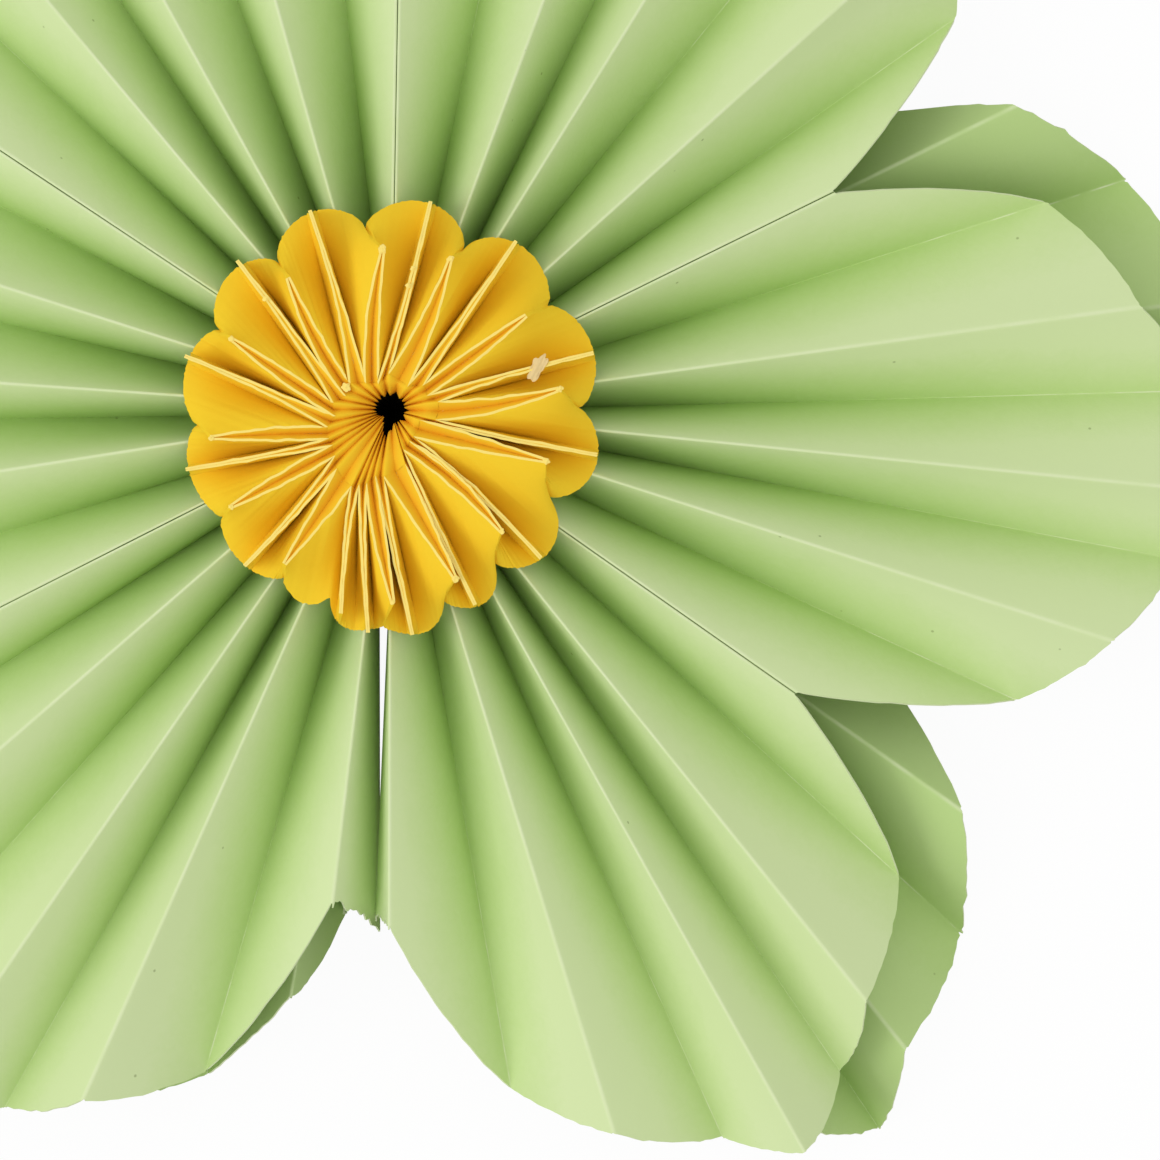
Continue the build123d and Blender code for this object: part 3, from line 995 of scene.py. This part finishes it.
def add_tufts():
    """Small tufts of torn fibres along the cut edges."""
    sizes = rosette_sizes()
    folds = inner_folds()
    colours = finish_colours()
    roughness, lumps, flatness = 0.7, 2600, 0.5
    pieces = []
    for number, (hairpin, share, size) in enumerate(TUFTS):
        _, angle, radius, _ = HAIRPINS[hairpin]
        mouth = (folds[hairpin - 1] + folds[hairpin]) / 2
        where = mouth.lerp(polar(radius * MM, angle, 0), share)
        bpy.ops.object.select_all(action="DESELECT")
        bpy.ops.mesh.primitive_ico_sphere_add(subdivisions=3, radius=TUFT_FULLNESS * size * MM)
        tuft = bpy.context.object
        for vertex in tuft.data.vertices:
            rough = 1 + roughness * noise.noise(vertex.co * lumps + Vector((number * 5.0, 0, 0)))
            shaped = vertex.co * rough
            vertex.co = Vector((shaped.x + where.x, shaped.y + where.y, shaped.z * flatness + sizes.top))
        tuft.data.materials.append(edge_material("cut_yellow", colours.yellow_edge, colours.yellow_edge))
        pieces.append(tuft)
    return pieces


def add_fleck():
    """A fleck of dried glue and torn paper on one of the fins."""
    colours = finish_colours()
    bpy.ops.object.select_all(action="DESELECT")
    bpy.ops.mesh.primitive_grid_add(x_subdivisions=14, y_subdivisions=14, size=2.0)
    fleck = bpy.context.object
    sink, droop, crumple_size, thickness = 0.5 * MM, 0.25 * MM, 0.35 * MM, 0.2 * MM
    raggedness, half_width, half_length, slant = 0.55, 1.25, 1.9, 0.9
    ragged_pitch, crumple_pitch = 1.7, 2.5
    middle = Vector((*FLECK_PLACE, rosette_sizes().top - sink))
    for vertex in fleck.data.vertices:
        reach = max(abs(vertex.co.x), abs(vertex.co.y))
        round_out = vertex.co.normalized() * reach if reach else Vector()
        bearing = math.atan2(vertex.co.y, vertex.co.x)
        around = polar(ragged_pitch, math.degrees(bearing), 3.0)
        spread = round_out * (1 + raggedness * noise.noise(around))
        crumple = crumple_size * ripple(spread.x * crumple_pitch, spread.y * crumple_pitch, 8.0)
        lean = Vector((spread.x * half_width + spread.y * slant, spread.y * half_length, 0)) * MM
        vertex.co = middle + lean + Vector((0, 0, crumple - droop * reach))
    fleck.data.materials.append(edge_material("glue_fleck", colours.glue, colours.glue))
    thicken(fleck, thickness)
    return fleck


class FLOWER_OT_rosette(bpy.types.Operator):
    """Fold and cut the yellow rosette"""

    bl_idname = "flower.rosette"
    bl_label = "Rosette"

    def execute(self, context):
        strip = fold_rosette_strip()
        rest = [fold_rosette_throat(), *add_tufts(), add_fleck()]
        bpy.ops.object.select_all(action="DESELECT")
        for piece in rest:
            piece.select_set(True)
        strip.select_set(True)
        context.view_layer.objects.active = strip
        bpy.ops.object.join()
        place(strip, "centre_rosette")
        return {"FINISHED"}


class FLOWER_OT_stage(bpy.types.Operator):
    """Set the floor, the light and the camera"""

    bl_idname = "flower.stage"
    bl_label = "Stage"

    def execute(self, context):
        scene = context.scene
        sizes = stage_sizes()
        scene.view_settings.view_transform = "Standard"
        bpy.ops.object.select_all(action="DESELECT")
        bpy.ops.mesh.primitive_plane_add(size=FLOOR_SIDE, location=(0, 0, -FLOOR_GAP))
        floor = context.object
        floor.name = "floor"
        bpy.ops.object.transform_apply(location=True)
        floor.data.materials.append(self.floor_material(sizes))
        self.surroundings(scene, sizes)
        self.key_light(scene, sizes)
        self.camera(scene, sizes)
        return {"FINISHED"}

    def floor_material(self, sizes):
        """Pale floor: white to the camera with a faint shadow, grey to the light."""
        material, nodes, links, shader = new_material("pale_floor", roughness=0.9, specular=0.5)
        glow_share, glow_strength = 0.9, 1.06
        feed(links, shader.inputs["Base Color"], sizes.floor_colour)
        glow = nodes.new("ShaderNodeEmission")
        glow.inputs["Strength"].default_value = glow_strength
        mix = nodes.new("ShaderNodeMixShader")
        seen = seen_directly(nodes, links)
        links.new(math_node(nodes, links, "MULTIPLY", seen, glow_share), mix.inputs[0])
        links.new(shader.outputs[0], mix.inputs[1])
        links.new(glow.outputs[0], mix.inputs[2])
        links.new(mix.outputs[0], nodes["Material Output"].inputs["Surface"])
        return material

    def surroundings(self, scene, sizes):
        """Even light from all round, white to the camera."""
        world = bpy.data.worlds.new("soft_room")
        scene.world = world
        world.use_nodes = True
        nodes, links = world.node_tree.nodes, world.node_tree.links
        back = nodes["Background"]
        seen = seen_directly(nodes, links)
        links.new(map_range(nodes, links, seen, (0.0, 1.0), (sizes.fill, 1.0)), back.inputs["Strength"])
        tint = mix_colour(nodes, links, seen, sizes.fill_colour, (1.0, 1.0, 1.0))
        links.new(tint, back.inputs["Color"])

    def key_light(self, scene, sizes):
        """A square soft light that points at the flower."""
        data = bpy.data.lights.new("key_light", "AREA")
        data.size = KEY_SIDE
        data.energy = sizes.key_power
        data.color = KEY_COLOUR
        lamp = bpy.data.objects.new("key_light", data)
        scene.collection.objects.link(lamp)
        lamp.location = KEY_PLACE
        lamp.rotation_euler = (-Vector(KEY_PLACE)).to_track_quat("-Z", "Y").to_euler()

    def camera(self, scene, sizes):
        """Straight down on the flower, with its centre up and left of the middle."""
        data = bpy.data.cameras.new("camera")
        view = bpy.data.objects.new("camera", data)
        scene.collection.objects.link(view)
        middle = sizes.image_size / 2
        x = (middle - sizes.centre_pixel[0]) / sizes.pixels_per_mm * MM
        y = (sizes.centre_pixel[1] - middle) / sizes.pixels_per_mm * MM
        view.location = (x, y, sizes.focus_height + sizes.camera_distance)
        width = sizes.image_size / sizes.pixels_per_mm * MM
        data.sensor_width = CAMERA_SENSOR
        data.lens = CAMERA_SENSOR * sizes.camera_distance / width
        data.clip_start = NEAREST_VIEW
        scene.camera = view


class FLOWER_PT_panel(bpy.types.Panel):
    """Sizes and steps of the paper flower"""

    bl_label = "Paper Flower"
    bl_idname = "FLOWER_PT_panel"
    bl_space_type = "VIEW_3D"
    bl_region_type = "UI"
    bl_category = "Flower"

    def draw(self, context):
        layout = self.layout
        for group in (context.scene.flower_card, context.scene.flower_rosette,
                      context.scene.flower_finish, context.scene.flower_stage):
            box = layout.box()
            for name in group.__annotations__:
                box.prop(group, name)
        for operator in STEPS:
            layout.operator(operator.bl_idname)


STEPS = (FLOWER_OT_front_petals, FLOWER_OT_back_petals, FLOWER_OT_rosette, FLOWER_OT_stage)
GROUPS = {
    "flower_card": FlowerCard,
    "flower_rosette": FlowerRosette,
    "flower_finish": FlowerFinish,
    "flower_stage": FlowerStage,
}


def register():
    for cls in (*GROUPS.values(), *STEPS, FLOWER_PT_panel):
        bpy.utils.register_class(cls)
    for name, cls in GROUPS.items():
        setattr(bpy.types.Scene, name, bpy.props.PointerProperty(type=cls))


def unregister():
    for name in GROUPS:
        delattr(bpy.types.Scene, name)
    for cls in (FLOWER_PT_panel, *reversed(STEPS), *reversed(list(GROUPS.values()))):
        bpy.utils.unregister_class(cls)


def main():
    register()
    bpy.ops.flower.front_petals()
    bpy.ops.flower.back_petals()
    bpy.ops.flower.rosette()
    bpy.ops.flower.stage()


if __name__ == "__main__":
    main()
